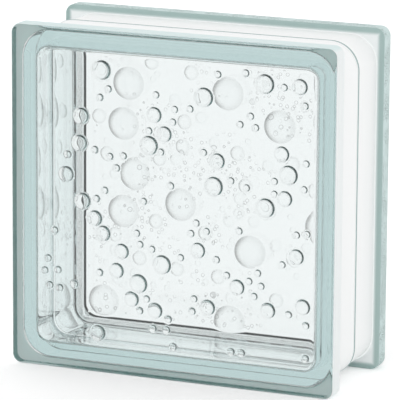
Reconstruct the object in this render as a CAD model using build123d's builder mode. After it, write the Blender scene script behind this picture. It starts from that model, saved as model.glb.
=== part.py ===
import os
from math import atan2, degrees

from build123d import *

# Glass block for walls: two pressed glass trays fused rim to rim into one
# closed, hollow block. Millimetres, +Z up. The block stands on its bed flanges
# with the origin at the middle of its base, and its front face looks to -Y.

# Outside
block_width = 190.0
block_height = 190.0
block_depth = 80.0
flange_thickness = 11.0
flange_corner_radius = 7.0
face_arris_radius = 1.8

# Mortar channel round the four sides, between the two flanges
channel_depth = 4.2
seam_recess = 3.6
channel_corner_radius = 16.0
flank_arris_bevel = 0.8
flank_foot_radius = 1.5

# Bead where the two trays are fused
seam_bead_width = 2.4
seam_bead_height = 0.5
seam_bead_bevel = 0.4

# Sealed hollow inside
pane_thickness = 8.0
seam_wall_thickness = 6.8
tray_draft_angle = 2.0
hollow_corner_radius = 9.5
pane_bevel = 2.4

# Bubbles pressed into the inner side of both panes: across and height
medium_bubble_width = 9.0
medium_bubble_height = 1.6
broad_bubble_width = 11.0
broad_bubble_height = 1.9
wide_bubble_width = 17.0
wide_bubble_height = 2.6
bubble_margin = 0.6

# Places of the bubbles, seen from the front and measured across and up from the
# middle of the pane
front_broad_bubbles = [(-43, 72), (-15, 33), (17, 62), (52, 72), (23, 14), (66, 24), (-7, -32), (-21, -44), (53, 5)]
front_medium_bubbles = [
    (-64, 13), (-56, 31), (-55, 46), (-54, -1), (-34, -38), (-25, -53), (14, -22), (20, -53), (37, -40),
    (55, -51), (71, -20), (71, 71),
]
back_wide_bubbles = [(-46, 62), (-42, 12), (-14, -12), (18, -34), (46, 34), (60, -18)]

half_width = block_width / 2
half_height = block_height / 2
half_depth = block_depth / 2
channel_half_length = half_depth - flange_thickness
hollow_half_depth = half_depth - pane_thickness

mid_plane = Plane(origin=(0, 0, half_height), x_dir=(1, 0, 0), z_dir=(0, -1, 0))


def side_faces(body):
    """The faces that run from the seam to the pane."""
    return body.faces().filter_by(lambda face: abs(face.normal_at().Y) < 0.5)


def cap_radius(width, height):
    """Radius of the ball whose cap has this width and height."""
    return ((width / 2) ** 2 + height**2) / (2 * height)


def bubble_places(places, width, side):
    """The places that keep a bubble of this width clear of the pane's rim."""
    reach_across = pane_half_width - width / 2 - bubble_margin
    reach_up = pane_half_height - width / 2 - bubble_margin
    inside = [(x, z) for x, z in places if abs(x) <= reach_across and abs(z) <= reach_up]
    return [(x, side * hollow_half_depth, half_height + z) for x, z in inside]


# Outer form of the front tray, from the seam to its pane, then both trays
web_draft_angle = degrees(atan2(channel_depth - seam_recess, channel_half_length))
bead_recess = seam_recess - seam_bead_height
with BuildPart() as block:
    with BuildSketch(mid_plane):
        RectangleRounded(block_width - 2 * seam_recess, block_height - 2 * seam_recess, channel_corner_radius)
    extrude(amount=channel_half_length)
    draft(side_faces(block), mid_plane, web_draft_angle)

    with BuildSketch(mid_plane.offset(channel_half_length)):
        RectangleRounded(block_width, block_height, flange_corner_radius)
    extrude(amount=flange_thickness)
    flank = block.faces().filter_by(Axis.Y).sort_by(Axis.Y)[1]
    fillet(flank.inner_wires()[0].edges(), flank_foot_radius)
    flank = block.faces().filter_by(Axis.Y).sort_by(Axis.Y)[1]
    chamfer(flank.outer_wire().edges(), flank_arris_bevel)
    fillet(block.faces().sort_by(Axis.Y)[0].edges(), face_arris_radius)

    with BuildSketch(mid_plane):
        RectangleRounded(
            block_width - 2 * bead_recess, block_height - 2 * bead_recess, channel_corner_radius + seam_bead_height
        )
    extrude(amount=seam_bead_width / 2)
    bead_side = block.faces().filter_by(Axis.Y).sort_by(Axis.Y)[-2]
    chamfer(bead_side.outer_wire().edges(), seam_bead_bevel)

    mirror(about=mid_plane)

# Hollow: widest at the seam, drafted towards both panes
seam_half_width = half_width - seam_recess - seam_wall_thickness
seam_half_height = half_height - seam_recess - seam_wall_thickness
with BuildPart() as hollow:
    with BuildSketch(mid_plane):
        RectangleRounded(2 * seam_half_width, 2 * seam_half_height, hollow_corner_radius)
    extrude(amount=hollow_half_depth)
    draft(side_faces(hollow), mid_plane, tray_draft_angle)
    chamfer(hollow.faces().sort_by(Axis.Y)[0].edges(), pane_bevel)
    mirror(about=mid_plane)

    pane_face = hollow.faces().sort_by(Axis.Y)[0]
    pane_half_width = pane_face.bounding_box().size.X / 2
    pane_half_height = pane_face.bounding_box().size.Z / 2
    for side, places, width, height in (
        (-1, front_broad_bubbles, broad_bubble_width, broad_bubble_height),
        (-1, front_medium_bubbles, medium_bubble_width, medium_bubble_height),
        (1, back_wide_bubbles, wide_bubble_width, wide_bubble_height),
    ):
        radius = cap_radius(width, height)
        sunk = side * (radius - height)
        centres = [(x, y + sunk, z) for x, y, z in bubble_places(places, width, side)]
        with Locations(*centres):
            Sphere(radius, mode=Mode.SUBTRACT)

# One closed solid with its hollow sealed inside
with BuildPart() as glass_block:
    add(block.part)
    add(hollow.part, mode=Mode.SUBTRACT)

glass_block.part.label = "glass_block"

os.makedirs("parts", exist_ok=True)
export_step(glass_block.part, "parts/glass_block.step")
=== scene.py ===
from collections import namedtuple
from math import cos, hypot, pi, radians, sin, sqrt
from random import Random
from types import SimpleNamespace

import bmesh
import bpy
import numpy as np
from mathutils import Matrix, Vector


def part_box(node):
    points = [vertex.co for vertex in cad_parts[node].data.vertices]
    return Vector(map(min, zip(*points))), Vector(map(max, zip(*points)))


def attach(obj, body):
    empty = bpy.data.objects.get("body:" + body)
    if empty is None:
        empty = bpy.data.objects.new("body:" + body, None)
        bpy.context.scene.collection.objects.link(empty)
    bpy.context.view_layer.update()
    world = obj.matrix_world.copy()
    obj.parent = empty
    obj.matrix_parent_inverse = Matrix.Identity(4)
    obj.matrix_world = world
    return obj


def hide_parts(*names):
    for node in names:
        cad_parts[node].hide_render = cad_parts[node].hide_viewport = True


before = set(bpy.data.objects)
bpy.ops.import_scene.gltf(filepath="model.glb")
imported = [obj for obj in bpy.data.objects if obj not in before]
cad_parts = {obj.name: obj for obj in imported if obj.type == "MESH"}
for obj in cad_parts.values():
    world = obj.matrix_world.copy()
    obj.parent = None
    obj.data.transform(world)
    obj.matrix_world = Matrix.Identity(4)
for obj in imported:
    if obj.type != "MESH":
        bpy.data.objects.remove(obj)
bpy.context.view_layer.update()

# Lengths of the block are in millimetres until its mesh is finished
MM = 0.001
lowest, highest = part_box("glass_block")
half_width = (highest.x - lowest.x) / 2 / MM
half_height = (highest.z - lowest.z) / 2 / MM
half_depth = (highest.y - lowest.y) / 2 / MM

# Outside: two flanges with the mortar channel between them
flange_thickness = 11.0
flange_corner_radius = 5.4
face_arris_radius = 1.8
flank_arris_radius = 1.1
channel_depth = 4.2
seam_recess = 3.6
channel_corner_radius = 16.0
flank_foot_radius = 1.5
seam_bead_half_width = 1.2
seam_bead_height = 0.5

# Sealed hollow inside
pane_thickness = 8.0
pane_flat_recess = 14.5
pane_corner_radius = 5.0
hollow_fillet_radius = 2.4
seam_wall_recess = 10.4

# How far the flank, the pane and the pane's edge lie from the middle of the block
flank_depth = half_depth - flange_thickness
pane_depth = half_depth - pane_thickness
pane_half_width = half_width - pane_flat_recess

# Fineness of the mesh. Rings close to a rounded edge keep the surfaces beside it flat.
corner_segments = 12
bead_segments = 4
arris_segments = 5
fillet_segments = 6
support_gap = 0.35
flank_support_gap = 0.2
flank_support_radius = 15.0
wall_ring_drops = (support_gap, 1.2, 2.2, 3.5)
seam_merge_distance = 0.001

# A pane is a grid of square cells, divided once under a bubble and once more along its rim
pane_cells = 96
divided_beyond_rim = 1.2
rim_band_inside = 2.4
rim_band_outside = 0.5

# Bubbles inside the front pane, measured across and up from its middle
front_broad_bubbles = [
    (-43, 72), (-15, 33), (17, 62), (52, 72), (23, 14), (66, 24), (-7, -32), (-21, -44), (53, 5),
]
front_medium_bubbles = [
    (-64, 13), (-56, 31), (-55, 46), (-54, -1), (-47, -10), (-45, -74), (-42, -18), (-34, -38), (-31, -27),
    (-25, -53), (-12, 50), (-11, -58), (-6, 40), (14, -22), (20, -53), (25, 28), (37, -40), (55, -51),
    (62, 35), (64, 11), (71, -20), (72, 72), (75, -47),
]
front_small_bubbles = [
    (-77, -42), (-75, -35), (-74, -50), (-71, -19), (-69, -41), (-68, -51), (-63, 24), (-59, -48), (-47, 28),
    (-46, 1), (-44, -40), (-44, 57), (-41, 6), (-39, 62), (-38, 25), (-34, 19), (-30, 26), (-22, -16),
    (-20, -59), (-20, -22), (-18, 2), (-16, -52), (-15, 41), (-13, -24), (-12, -68), (-11, 61), (-8, 30),
    (-4, -68), (-3, -62), (-2, 12), (-1, 47), (0, -77), (0, 54), (4, -27), (9, 55), (10, -13), (11, -56),
    (12, -49), (13, -7), (17, 32), (19, -11), (25, -26), (25, 75), (31, -34), (33, 18), (34, -76), (38, -9),
    (38, 49), (40, -76), (41, 77), (42, 15), (44, -36), (44, 54), (47, -44), (47, 48), (49, -31), (51, -38),
    (58, 13), (58, 20), (63, -25), (63, 71), (67, -52), (71, -8), (75, 17), (75, 62), (76, 31), (77, -75),
    (77, -57), (77, -7),
]

# Bubbles inside the back pane, seen from the front. The pane's border cuts some of them.
back_wide_bubbles = [
    (-59, 30), (-59, -20), (-71, -73), (6, -77), (-56, 53), (-52, 2), (-24, -13), (18, -36), (35, 36),
    (60, -18), (4, 52), (66, 62),
]
back_medium_bubbles = [
    (-71, 60), (-69, 12), (-64, -34), (-74, 33), (-49, -46), (-42, 66), (-39, -24), (-37, 12), (-37, 26),
    (-26, -50), (-23, 20), (-22, 34), (-18, 62), (-9, -28), (-3, 14), (-1, -52), (10, 19), (15, 1), (24, 62),
    (29, -12), (34, -62), (43, 16), (44, -38), (56, 2), (61, 41), (66, 22), (70, -44), (72, -66), (73, -2),
]
back_low_count = 26
back_small_count = 50

# A squarer shoulder gives a bubble a flatter top and a steeper rim. Levels say how often the pane is divided.
Kind = namedtuple("Kind", "width height shoulder levels")
Bubble = namedtuple("Bubble", "x z width height shoulder levels")
BROAD = Kind(11.0, 1.6, 3.6, 2)
MEDIUM = Kind(9.0, 1.35, 3.6, 2)
SMALL = Kind(4.3, 0.9, 3.6, 2)
BACK_WIDE = Kind(19.0, 3.2, 2.6, 2)
BACK_MEDIUM = Kind(9.0, 1.5, 2.4, 2)
BACK_LOW = Kind(8.0, 1.2, 2.2, 1)
BACK_SMALL = Kind(4.0, 0.6, 3.0, 2)
bubble_foot_blend = 0.18

# White coat in the channel, from the seam bead to the rounded foot of the flank
coat_start = 0.8 * seam_bead_half_width
coat_end = flank_depth - flank_foot_radius / 2
coat_white = (0.97, 0.98, 0.98, 1)
coat_roughness = 0.5
coat_mirror = (0.98, 0.99, 0.99, 1)

# Clear glass, and the green that its bulk takes on
glass_ior = 1.52
bulk_tint = (0.0, 0.36, 0.36, 1)
bulk_density = 8.2

# Places on the block. Each pair says where a mask is 0 and where it is 1.
front_to_back = (-1.0, 1.0)
rim_from_flank = (flank_depth - 0.4, flank_depth - 0.2)
rim_to_face = (half_depth - 0.4, half_depth - 0.8)
rim_to_flank = (flank_depth + 0.9, flank_depth + 0.5)
flank_foot_to_rim = (half_width - 4.6, half_width - 2.0)
channel_to_seam = (1.1 * seam_bead_half_width + 0.1, 1.1 * seam_bead_half_width - 0.1)
outer_skin_from = half_width - seam_wall_recess + 0.7
pane_until = pane_half_width + 0.1
facing_up = (0.5, 0.9)

# Grain of the flanges' rims. A noise is given by its scale and its detail, and the height is in metres.
rim_grain = (1400.0, 3.0)
rim_grain_patches = (90.0, 2.0)
grain_strength = 0.8
grain_height = 0.0003
rim_roughness = 0.5
speck_grain = (0.5, 0.6)
speck_patches = (0.3, 0.6)

# Frost on rims and seam, seen from outside and, for the front and the back flange, from inside. Its colours
# hold painted shade: darker where a front rim faces up, on the flanks towards the rim, and where the frost is
# seen from inside the glass.
frost_outside = 0.9
frost_inside = (0.6, 0.12)
frost_on_seam = 0.85
frost_roughness = 0.7
front_rim_side = (0.95, 0.98, 0.98, 1)
# Painted shade: a front rim is darker where it faces up
front_rim_top_painted_shade = (0.78, 0.9, 0.9, 1)
back_rim = (0.66, 0.8, 0.79, 1)
flank_at_foot = (0.9, 0.94, 0.94, 1)
# Painted shade: the flank darkens towards the flange's rim
flank_at_rim_painted_shade = (0.34, 0.48, 0.46, 1)
# Painted shade: the frost is a darker teal where it is seen from inside the glass
front_from_inside_painted_shade = (0.18, 0.55, 0.51, 1)
back_from_inside_painted_shade = (0.5, 0.74, 0.71, 1)
rim_specks = (0.1, 0.17, 0.16, 1)
seam_colour = (0.3, 0.42, 0.41, 1)

# Painted shade on steep glass: a near-black share on the bubbles' rims and along the back pane's border,
# stronger on one side of each bubble. Each pair says at which tilt of the surface a mask is 0 and where it is
# 1.
painted_rim_shade_colour = (0.01, 0.015, 0.015, 1)
front_rim_turn = (0.93, 0.74)
front_dark_side = (0.0, 0.6)
front_far_side_shade = 0.05
back_rim_turn = (0.98, 0.76)
back_dark_side = (0.0, -0.5)
back_far_side_shade = 0.2
back_rim_shade = 0.55
border_turn = (0.88, 0.74)
border_turn_end = (0.3, 0.42)

# Tiny bubbles on the back pane, drawn as rings of painted shade in clusters
tiny_bubble_scale = 240.0
tiny_bubble_shade = 0.3
tiny_ring_inside = (0.16, 0.22)
tiny_ring_outside = (0.3, 0.24)
tiny_cluster_noise = (45.0, 1.0)
tiny_clusters = (0.5, 0.62)

# Floor, in metres, and sky
floor_level = -0.0001
floor_half_size = 20
floor_white = 0.95
floor_lift = 0.25
floor_roughness = 0.9
sky_white_until = 0.35
sky_overhead = 0.92

# Light that glass or mirror has thrown back more often than this keeps this share
trapped_after = 6.5
trapped_light = 0.05

# Camera, from the block's outline in the photograph
camera_place = (0.7776, -1.7968, 0.5247)
camera_turn = 23.398
camera_dip = 12.447
camera_roll = 0.385
camera_range = (0.05, 100)
focal_pixels = 3671.8
picture_pixels = 400
sensor = 36.0


def spread(places, kind):
    """Bubbles of one kind at these places."""
    return [Bubble(x, z, *kind) for x, z in places]


def scatter(count, kind, others, gap, seed):
    """Bubbles at random places that keep this gap to all others. A gap below zero lets them overlap."""
    reach = pane_half_width - kind.width
    random = Random(seed)
    placed = []
    while len(placed) < count:
        x, z = random.uniform(-reach, reach), random.uniform(-reach, reach)
        near = [b for b in others + placed if hypot(x - b.x, z - b.z) < (kind.width + b.width) / 2 + gap]
        if not near:
            placed += spread([(x, z)], kind)
    return placed


front_bubbles = spread(front_broad_bubbles, BROAD)
front_bubbles += spread(front_medium_bubbles, MEDIUM)
front_bubbles += spread(front_small_bubbles, SMALL)
back_bubbles = spread(back_wide_bubbles, BACK_WIDE) + spread(back_medium_bubbles, BACK_MEDIUM)
back_bubbles += scatter(back_low_count, BACK_LOW, back_bubbles, gap=-3.0, seed=7)
back_bubbles += scatter(back_small_count, BACK_SMALL, back_bubbles, gap=-1.0, seed=4)


def sign(value):
    return 1 if value > 0 else -1


def arc(start, end, steps):
    """Angles in radians from one to the other, both given in degrees."""
    return [radians(start + (end - start) * step / steps) for step in range(steps + 1)]


def finished_mesh(bm, name):
    """The mesh that a bmesh has shaped. The bmesh is freed."""
    mesh = bpy.data.meshes.new(name)
    bm.to_mesh(mesh)
    bm.free()
    return mesh


def new_object(name, mesh, *materials):
    """A mesh and its materials as an object in the scene."""
    for material in materials:
        mesh.materials.append(material)
    made = bpy.data.objects.new(name, mesh)
    bpy.context.scene.collection.objects.link(made)
    return made


def pull_out(bm, rim, guides, place, *where):
    """Extrudes a closed rim once and puts each new corner where its guide says.

    Returns the new rim and the guides of its corners.
    """
    made = bmesh.ops.extrude_edge_only(bm, edges=rim)["geom"]
    moved = {}
    for vert in (item for item in made if isinstance(item, bmesh.types.BMVert)):
        guide = guides[tuple(vert.co)]
        vert.co = place(guide, *where)
        moved[tuple(vert.co)] = guide
    new_rim = [item for item in made if isinstance(item, bmesh.types.BMEdge) and item.is_boundary]
    return new_rim, moved


def outer_sections():
    """Recess, corner radius and depth of each ring, from the seam to the front face."""
    sections = []
    for angle in arc(0, 90, bead_segments):
        rise = seam_bead_height * cos(angle)
        sections.append((seam_recess - rise, channel_corner_radius, seam_bead_half_width * sin(angle)))
    floor_end = flank_depth - flank_foot_radius
    slope = (channel_depth - seam_recess) / floor_end
    for depth in (seam_bead_half_width + support_gap, floor_end - support_gap):
        sections.append((seam_recess + slope * depth, channel_corner_radius, depth))
    for angle in arc(0, 90, arris_segments):
        recess = channel_depth - flank_foot_radius * (1 - cos(angle))
        sections.append((recess, channel_corner_radius, floor_end + flank_foot_radius * sin(angle)))
    foot_recess = channel_depth - flank_foot_radius - flank_support_gap
    sections.append((foot_recess, flank_support_radius, flank_depth))
    edge_recess = flank_arris_radius + flank_support_gap
    sections.append((edge_recess, flange_corner_radius - flank_arris_radius, flank_depth))
    for angle in arc(0, 90, arris_segments):
        recess = flank_arris_radius * (1 - sin(angle))
        depth = flank_depth + flank_arris_radius * (1 - cos(angle))
        sections.append((recess, flange_corner_radius - recess, depth))
    arris_start = half_depth - face_arris_radius
    for depth in (flank_depth + flank_arris_radius + support_gap, arris_start - support_gap):
        sections.append((0, flange_corner_radius, depth))
    for angle in arc(0, 90, arris_segments):
        recess = face_arris_radius * (1 - cos(angle))
        depth = arris_start + face_arris_radius * sin(angle)
        sections.append((recess, flange_corner_radius - recess, depth))
    recess = face_arris_radius + support_gap
    sections.append((recess, flange_corner_radius - recess, half_depth))
    return sections


def corner_centre(side, level, recess, radius, depth):
    """Middle of a ring's rounded corner."""
    return Vector((side * (half_width - recess - radius), level * (half_height - recess - radius), depth))


def ring_place(guide, recess, radius, depth):
    """A point of a ring, from its corner and its direction there."""
    side, level, direction = guide
    return corner_centre(side, level, recess, radius, depth) + direction * radius


def build_outside(bm):
    """The outer skin of both trays, closed at both faces."""
    front = outer_sections()
    back = [(recess, radius, -depth) for recess, radius, depth in front[1:]]
    first, *others = back[::-1] + front
    recess, radius, depth = first
    corners = bmesh.ops.create_grid(bm, x_segments=1, y_segments=1, size=1)["verts"]
    bmesh.ops.scale(bm, vec=(half_width - recess, half_height - recess, 1), verts=corners)
    bmesh.ops.translate(bm, vec=(0, 0, depth), verts=corners)
    bmesh.ops.bevel(
        bm, geom=corners, offset=radius, segments=corner_segments, profile=0.5, affect="VERTICES", material=-1
    )
    guides = {}
    for vert in bm.verts:
        side, level = sign(vert.co.x), sign(vert.co.y)
        centre = corner_centre(side, level, *first)
        guides[tuple(vert.co)] = (side, level, (vert.co - centre).normalized())
    rim = list(bm.edges)
    for section in others:
        rim, guides = pull_out(bm, rim, guides, ring_place, *section)
    bmesh.ops.contextual_create(bm, geom=rim)


def bubble_height(x, z, bubbles):
    """How far the bubbles stand out of the pane at these places."""
    total = np.zeros_like(x)
    for bubble in bubbles:
        share = 2 * np.hypot(x - bubble.x, z - bubble.z) / bubble.width
        inside = bubble.height * (1 - share**bubble.shoulder)
        outside = bubble.height * bubble.shoulder * (1 - share)
        total = soft_larger(total, np.where(share < 1, inside, outside), bubble_foot_blend)
    return total


def soft_larger(first, second, blend):
    """The larger of two heights, with the corner between them rounded."""
    near = np.maximum(blend - np.abs(first - second), 0) / blend
    return np.maximum(first, second) + near**2 * blend / 4


def faces_under_bubbles(bm, bubbles, level):
    """Pane faces to divide: under the whole of a bubble on level 1, and along its rim on level 2."""
    faces = list(bm.faces)
    centres = np.array([face.calc_center_median()[:2] for face in faces])
    chosen = np.zeros(len(faces), bool)
    for bubble in bubbles:
        if bubble.levels < level:
            continue
        from_rim = np.hypot(centres[:, 0] - bubble.x, centres[:, 1] - bubble.z) - bubble.width / 2
        if level == 1:
            chosen |= from_rim < divided_beyond_rim
        else:
            chosen |= (from_rim < rim_band_outside) & (from_rim > -rim_band_inside)
    return [face for face, near in zip(faces, chosen) if near]


def pane_grid(bm, bubbles):
    """The inner side of one pane, with its bubbles raised."""
    bmesh.ops.create_grid(bm, x_segments=pane_cells, y_segments=pane_cells, size=pane_half_width)
    for level in (1, 2):
        faces = faces_under_bubbles(bm, bubbles, level)
        edges = {edge for face in faces for edge in face.edges if not edge.is_boundary}
        bmesh.ops.subdivide_edges(bm, edges=list(edges), cuts=1, use_grid_fill=True)
    verts = list(bm.verts)
    places = np.array([vert.co[:2] for vert in verts])
    heights = bubble_height(places[:, 0], places[:, 1], bubbles)
    for vert, height in zip(verts, heights):
        x, y = round_corner(vert.co.x, vert.co.y)
        vert.co = (x, y, pane_depth - height)


def round_corner(x, y):
    """Moves a point of the square pane's corner into its rounded corner."""
    centre = pane_half_width - pane_corner_radius
    u = (abs(x) - centre) / pane_corner_radius
    v = (abs(y) - centre) / pane_corner_radius
    if u <= 0 or v <= 0:
        return x, y
    u, v = u * sqrt(1 - v * v / 2), v * sqrt(1 - u * u / 2)
    return (centre + u * pane_corner_radius) * sign(x), (centre + v * pane_corner_radius) * sign(y)


def outward(place):
    """Unit direction away from the pane, at a point of its rim."""
    centre = pane_half_width - pane_corner_radius
    x = max(abs(place.x) - centre, 0) * sign(place.x)
    y = max(abs(place.y) - centre, 0) * sign(place.y)
    return Vector((x, y, 0)).normalized()


def wall_steps():
    """How far out and how deep each ring of the hollow's wall lies, from the pane to the seam."""
    steps = [
        (hollow_fillet_radius * sin(angle), pane_depth - hollow_fillet_radius * (1 - cos(angle)))
        for angle in arc(0, 90, fillet_segments)
    ]
    seam_spread = pane_flat_recess - seam_wall_recess
    wall_top = pane_depth - hollow_fillet_radius
    for depth in [wall_top - drop for drop in wall_ring_drops] + [wall_top / 2, 0]:
        steps.append((seam_spread + (hollow_fillet_radius - seam_spread) * depth / wall_top, depth))
    return steps[1:]


def wall_place(guide, spread_out, depth, bubbles):
    """A point of the hollow's wall. It gives way where a bubble runs on past the pane."""
    start, direction = guide
    place = start + direction * spread_out
    rise = float(bubble_height(np.array([place.x]), np.array([place.y]), bubbles)[0])
    return Vector((place.x, place.y, min(depth, pane_depth - rise)))


def build_tray_hollow(bubbles):
    """One half of the hollow: the pane's inner side with its bubbles, and the wall down to the seam."""
    bm = bmesh.new()
    pane_grid(bm, bubbles)
    cut_by_border = [b for b in bubbles if max(abs(b.x), abs(b.z)) + b.width / 2 > pane_half_width]
    rim = [edge for edge in bm.edges if edge.is_boundary]
    guides = {}
    for vert in {vert for edge in rim for vert in edge.verts}:
        guides[tuple(vert.co)] = (vert.co.copy(), outward(vert.co))
    for spread_out, depth in wall_steps():
        rim, guides = pull_out(bm, rim, guides, wall_place, spread_out, depth, cut_by_border)
    return finished_mesh(bm, "tray_hollow")


def build_hollow(bm):
    """The inner skin of the sealed hollow. Its faces look into the hollow."""
    front = build_tray_hollow(front_bubbles)
    back = build_tray_hollow(back_bubbles)
    back.transform(Matrix.Diagonal((1, 1, -1, 1)))
    hollow = bmesh.new()
    for mesh in (front, back):
        hollow.from_mesh(mesh)
        bpy.data.meshes.remove(mesh)
    seam = [vert for vert in hollow.verts if vert.is_boundary]
    bmesh.ops.remove_doubles(hollow, verts=seam, dist=seam_merge_distance)
    bmesh.ops.recalc_face_normals(hollow, faces=hollow.faces)
    bmesh.ops.reverse_faces(hollow, faces=hollow.faces)
    mesh = finished_mesh(hollow, "hollow")
    bm.from_mesh(mesh)
    bpy.data.meshes.remove(mesh)


def coat_channel(bm):
    """Gives the channel's floor its white coat. The bead at the seam stays bare."""
    for face in bm.faces:
        depth = abs(face.calc_center_median().z)
        face.material_index = 1 if coat_start < depth < coat_end else 0


def build_block(*materials):
    """The whole block as one closed glass piece."""
    bm = bmesh.new()
    build_outside(bm)
    coat_channel(bm)
    bmesh.ops.recalc_face_normals(bm, faces=bm.faces)
    build_hollow(bm)
    upright = Matrix.Translation((0, 0, half_height)) @ Matrix.Rotation(pi / 2, 4, "X")
    bmesh.ops.transform(bm, matrix=Matrix.Scale(MM, 4) @ upright, verts=bm.verts)
    for face in bm.faces:
        face.smooth = True
    block = new_object("pressed_glass_block", finished_mesh(bm, "pressed_glass_block"), *materials)
    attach(block, "root")
    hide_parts("glass_block")


def new_material(name):
    """A material, its node tree and its shader."""
    material = bpy.data.materials.new(name)
    material.use_nodes = True
    return material, material.node_tree, material.node_tree.nodes["Principled BSDF"]


def with_values(node, values):
    """Puts these numbers on the node's sockets."""
    for name, value in values.items():
        node.inputs[name].default_value = value
    return node


def feed(tree, socket, value):
    """Puts a plain number on a socket, or links another socket to it."""
    if isinstance(value, bpy.types.NodeSocket):
        tree.links.new(value, socket)
    else:
        socket.default_value = value


def combine(tree, operation, first, second):
    """A Math node on two values, each a socket or a plain number."""
    node = tree.nodes.new("ShaderNodeMath")
    node.operation = operation
    feed(tree, node.inputs[0], first)
    feed(tree, node.inputs[1], second)
    return node.outputs["Value"]


def product(tree, first, *others):
    for other in others:
        first = combine(tree, "MULTIPLY", first, other)
    return first


def without(tree, mask):
    """1 where the mask is 0, and 0 where it is 1."""
    return combine(tree, "SUBTRACT", 1.0, mask)


def absolute(tree, value):
    return combine(tree, "ABSOLUTE", value, 0.0)


def between(tree, value, start, end):
    """0 at one value and 1 at the other, smooth in between."""
    node = with_values(tree.nodes.new("ShaderNodeMapRange"), {"From Min": start, "From Max": end})
    node.interpolation_type = "SMOOTHSTEP"
    tree.links.new(value, node.inputs["Value"])
    return node.outputs["Result"]


def between_mm(tree, length, start, end):
    """The same for a length, with both ends in millimetres."""
    return between(tree, length, start * MM, end * MM)


def ramp(tree, share, at_none, at_full):
    """A value that goes from the first number to the second as the share goes from 0 to 1."""
    return combine(tree, "ADD", combine(tree, "MULTIPLY", share, at_full - at_none), at_none)


def blended(tree, share, first, second):
    """Two colours mixed by a share. Each colour is a socket or plain numbers."""
    node = tree.nodes.new("ShaderNodeMix")
    node.data_type = "RGBA"
    tree.links.new(share, node.inputs["Factor"])
    feed(tree, node.inputs[6], first)
    feed(tree, node.inputs[7], second)
    return node.outputs[2]


def mixed(tree, share, first, second):
    """Two shaders mixed by a share."""
    node = tree.nodes.new("ShaderNodeMixShader")
    tree.links.new(share, node.inputs["Fac"])
    tree.links.new(first.outputs[0], node.inputs[1])
    tree.links.new(second.outputs[0], node.inputs[2])
    return node


def show(tree, shader):
    """Makes a shader the material's surface."""
    tree.links.new(shader.outputs[0], tree.nodes["Material Output"].inputs["Surface"])


def parts_of(tree, vector):
    node = tree.nodes.new("ShaderNodeSeparateXYZ")
    tree.links.new(vector, node.inputs["Vector"])
    return node.outputs["X"], node.outputs["Y"], node.outputs["Z"]


def noise(tree, place, scale, detail):
    node = with_values(tree.nodes.new("ShaderNodeTexNoise"), {"Scale": scale, "Detail": detail})
    tree.links.new(place, node.inputs["Vector"])
    return node.outputs["Fac"]


def places_on_block(tree):
    """Masks that say where on the block a point lies, and which way the glass faces there."""
    coordinates = tree.nodes.new("ShaderNodeTexCoord")
    place = coordinates.outputs["Object"]
    normal_x, normal_y, normal_z = parts_of(tree, coordinates.outputs["Normal"])
    x, y, z = parts_of(tree, place)
    depth = absolute(tree, y)
    up = absolute(tree, combine(tree, "SUBTRACT", z, half_height * MM))
    out = combine(tree, "MAXIMUM", absolute(tree, x), up)
    outer_skin = combine(tree, "GREATER_THAN", out, outer_skin_from * MM)
    past_flank = between_mm(tree, depth, *rim_from_flank)
    short_of_face = between_mm(tree, depth, *rim_to_face)
    return SimpleNamespace(
        place=place,
        normal_x=normal_x,
        normal_y=normal_y,
        normal_z=normal_z,
        out=out,
        outer_skin=outer_skin,
        from_inside=tree.nodes.new("ShaderNodeNewGeometry").outputs["Backfacing"],
        on_back=between_mm(tree, y, *front_to_back),
        on_rim=product(tree, outer_skin, past_flank, short_of_face),
        on_flank=between_mm(tree, depth, *rim_to_flank),
        on_seam=product(tree, between_mm(tree, depth, *channel_to_seam), outer_skin),
        on_pane=combine(tree, "LESS_THAN", out, pane_until * MM),
    )


def frost_colour(tree, at, grain):
    """Colour of the frosted rims, flanks and seam, with painted shade on the front rims' top, on the flanks
    towards the rim and where the frost is seen from inside the glass. The back flange's rim has dark specks.
    """
    # Painted shade: a front rim is darker where it faces up
    front_rim = blended(tree, between(tree, at.normal_z, *facing_up), front_rim_side, front_rim_top_painted_shade)
    rim = blended(tree, at.on_back, front_rim, back_rim)
    # Painted shade: the flank darkens towards the flange's rim
    flank = blended(tree, between_mm(tree, at.out, *flank_foot_to_rim), flank_at_foot, flank_at_rim_painted_shade)
    outside = blended(tree, at.on_flank, rim, flank)
    # Painted shade: a darker teal where the frost is seen from inside the glass
    inside = blended(tree, at.on_back, front_from_inside_painted_shade, back_from_inside_painted_shade)
    colour = blended(tree, at.from_inside, outside, inside)
    patches = noise(tree, at.place, *rim_grain_patches)
    specks = product(tree, between(tree, grain, *speck_grain), between(tree, patches, *speck_patches))
    specks = product(tree, specks, product(tree, at.on_back, without(tree, at.on_flank)))
    colour = blended(tree, specks, colour, rim_specks)
    return blended(tree, at.on_seam, colour, seam_colour)


def frost_share(tree, at):
    """How much of the rims and the seam is frosted, seen from outside and from inside the glass."""
    from_outside = without(tree, at.from_inside)
    outer = product(tree, from_outside, frost_outside)
    inner = product(tree, at.from_inside, ramp(tree, at.on_back, *frost_inside))
    rim = product(tree, at.on_rim, combine(tree, "ADD", outer, inner))
    seam = product(tree, at.on_seam, product(tree, from_outside, frost_on_seam))
    return combine(tree, "ADD", rim, seam)


def tiny_ring_painted_shade(tree, at):
    """Painted shade: dark rings that stand for the tiny bubbles on the back pane."""
    cells = with_values(tree.nodes.new("ShaderNodeTexVoronoi"), {"Scale": tiny_bubble_scale})
    tree.links.new(at.place, cells.inputs["Vector"])
    away = cells.outputs["Distance"]
    inner = between(tree, away, *tiny_ring_inside)
    outer = between(tree, away, *tiny_ring_outside)
    clusters = between(tree, noise(tree, at.place, *tiny_cluster_noise), *tiny_clusters)
    return product(tree, inner, outer, clusters, at.on_pane, at.on_back, tiny_bubble_shade)


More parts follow.
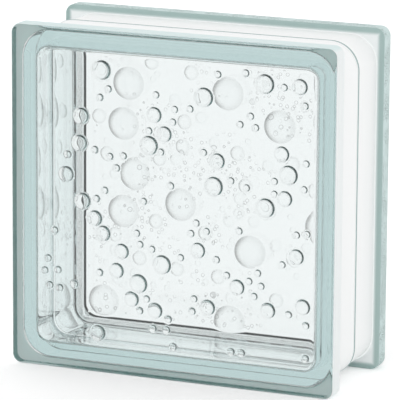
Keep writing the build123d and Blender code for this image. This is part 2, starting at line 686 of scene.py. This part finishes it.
def painted_shade_share(tree, at):
    """Painted shade on the bubbles' rims and along the back pane's border.

    The front pane's bubbles get more painted shade at the upper right, and the back pane's at the left.
    """
    facing = absolute(tree, at.normal_y)
    away_from_glass = ramp(tree, at.from_inside, 1.0, -1.0)
    upper_right = product(tree, combine(tree, "ADD", at.normal_x, at.normal_z), away_from_glass)
    right = product(tree, at.normal_x, away_from_glass)
    # Painted shade: stronger on one side of each bubble
    front_side = ramp(tree, between(tree, upper_right, *front_dark_side), front_far_side_shade, 1.0)
    back_side = ramp(tree, between(tree, right, *back_dark_side), back_far_side_shade, 1.0)
    front = product(tree, between(tree, facing, *front_rim_turn), front_side, without(tree, at.on_back))
    back = product(tree, between(tree, facing, *back_rim_turn), back_rim_shade, back_side, at.on_back)
    rims = product(tree, combine(tree, "ADD", front, back), at.on_pane)
    # Painted shade: a dark line along the back pane's border
    narrow = product(tree, between(tree, facing, *border_turn), between(tree, facing, *border_turn_end))
    border = product(tree, at.on_back, without(tree, at.on_pane), narrow)
    share = combine(tree, "MAXIMUM", combine(tree, "ADD", rims, border), tiny_ring_painted_shade(tree, at))
    return product(tree, share, without(tree, at.outer_skin))


def block_glass():
    """Clear soda-lime glass, polished on the faces, grained on the flanges' rims and faintly green in bulk.

    The steep rims of the bubbles throw light aside, so they get a near-black painted shade.
    """
    material, tree, glass = new_material("block_glass")
    at = places_on_block(tree)
    grain = noise(tree, at.place, *rim_grain)
    bump = tree.nodes.new("ShaderNodeBump")
    with_values(bump, {"Strength": grain_strength, "Distance": grain_height})
    tree.links.new(product(tree, grain, at.on_rim), bump.inputs["Height"])

    with_values(glass, {"Base Color": (1, 1, 1, 1), "IOR": glass_ior, "Transmission Weight": 1.0})
    tree.links.new(product(tree, at.on_rim, rim_roughness), glass.inputs["Roughness"])
    tree.links.new(bump.outputs["Normal"], glass.inputs["Normal"])
    frost = with_values(tree.nodes.new("ShaderNodeBsdfPrincipled"), {"Roughness": frost_roughness})
    tree.links.new(frost_colour(tree, at, grain), frost.inputs["Base Color"])
    # Painted shade: a near-black shader mixed in on steep glass
    dark = tree.nodes.new("ShaderNodeBsdfPrincipled")
    with_values(dark, {"Base Color": painted_rim_shade_colour, "Specular IOR Level": 0.0})
    frosted = mixed(tree, frost_share(tree, at), glass, frost)
    show(tree, mixed(tree, painted_shade_share(tree, at), frosted, dark))

    tint = tree.nodes.new("ShaderNodeVolumeAbsorption")
    with_values(tint, {"Color": bulk_tint, "Density": bulk_density})
    tree.links.new(tint.outputs["Volume"], tree.nodes["Material Output"].inputs["Volume"])
    return material


def edge_coat():
    """The thin coat in the channel: white from outside, and a mirror from inside the glass."""
    material, tree, paint = new_material("white_edge_coat")
    with_values(paint, {"Base Color": coat_white, "Roughness": coat_roughness})
    mirror = tree.nodes.new("ShaderNodeBsdfPrincipled")
    with_values(mirror, {"Base Color": coat_mirror, "Metallic": 1.0, "Roughness": 0.0})
    from_inside = tree.nodes.new("ShaderNodeNewGeometry").outputs["Backfacing"]
    show(tree, mixed(tree, from_inside, paint, mirror))
    return material


def dimmed(tree, strength):
    """A strength that falls off for light that was thrown to and fro inside the glass before it left."""
    path = tree.nodes.new("ShaderNodeLightPath")
    trapped = combine(tree, "GREATER_THAN", path.outputs["Glossy Depth"], trapped_after)
    return combine(tree, "MULTIPLY", strength, ramp(tree, trapped, 1.0, trapped_light))


def pale_floor():
    """A pale floor that keeps the block's shadow. Seen through the glass it is a plain white."""
    material, tree, paint = new_material("pale_floor")
    white = (floor_white, floor_white, floor_white, 1)
    with_values(paint, {"Base Color": white, "Roughness": floor_roughness, "Specular IOR Level": 0.0})
    paint.inputs["Emission Color"].default_value = (1, 1, 1, 1)
    path = tree.nodes.new("ShaderNodeLightPath")
    straight = combine(tree, "MAXIMUM", path.outputs["Is Camera Ray"], path.outputs["Is Glossy Ray"])
    tree.links.new(product(tree, straight, floor_lift), paint.inputs["Emission Strength"])
    background = tree.nodes.new("ShaderNodeEmission")
    tree.links.new(dimmed(tree, 1.0), background.inputs["Strength"])
    show(tree, mixed(tree, path.outputs["Is Transmission Ray"], paint, background))
    bm = bmesh.new()
    place = Matrix.Translation((0, 0, floor_level))
    bmesh.ops.create_grid(bm, x_segments=1, y_segments=1, size=floor_half_size, matrix=place)
    floor = new_object("floor", finished_mesh(bm, "floor"), material)


def studio_light():
    """Soft light from all round, white at the horizon and dimmer overhead."""
    world = bpy.data.worlds.new("studio")
    world.use_nodes = True
    tree = world.node_tree
    direction = tree.nodes.new("ShaderNodeTexCoord").outputs["Generated"]
    fall = tree.nodes.new("ShaderNodeMapRange")
    with_values(fall, {"From Min": sky_white_until, "From Max": 1.0, "To Min": 1.0, "To Max": sky_overhead})
    tree.links.new(parts_of(tree, direction)[2], fall.inputs["Value"])
    path = tree.nodes.new("ShaderNodeLightPath")
    soft = combine(tree, "MAXIMUM", fall.outputs["Result"], path.outputs["Is Camera Ray"])
    background = with_values(tree.nodes["Background"], {"Color": (1, 1, 1, 1)})
    tree.links.new(dimmed(tree, soft), background.inputs["Strength"])
    bpy.context.scene.world = world


def make_camera():
    """The photograph's view of the block."""
    data = bpy.data.cameras.new("camera")
    data.sensor_width = sensor
    data.lens = focal_pixels / picture_pixels * sensor
    data.clip_start, data.clip_end = camera_range
    camera = bpy.data.objects.new("camera", data)
    turn = Matrix.Rotation(radians(camera_turn), 4, "Z")
    tilt = Matrix.Rotation(radians(90 - camera_dip), 4, "X")
    roll = Matrix.Rotation(radians(camera_roll), 4, "Z")
    camera.matrix_world = Matrix.Translation(camera_place) @ turn @ tilt @ roll
    bpy.context.scene.collection.objects.link(camera)
    bpy.context.scene.camera = camera


build_block(block_glass(), edge_coat())
pale_floor()
studio_light()
make_camera()

# Light goes through many layers of glass before it is cut off
scene = bpy.context.scene
scene.cycles.max_bounces = 12
scene.cycles.transmission_bounces = 24
scene.cycles.glossy_bounces = 24
scene.cycles.diffuse_bounces = 12
scene.view_settings.view_transform = "Standard"
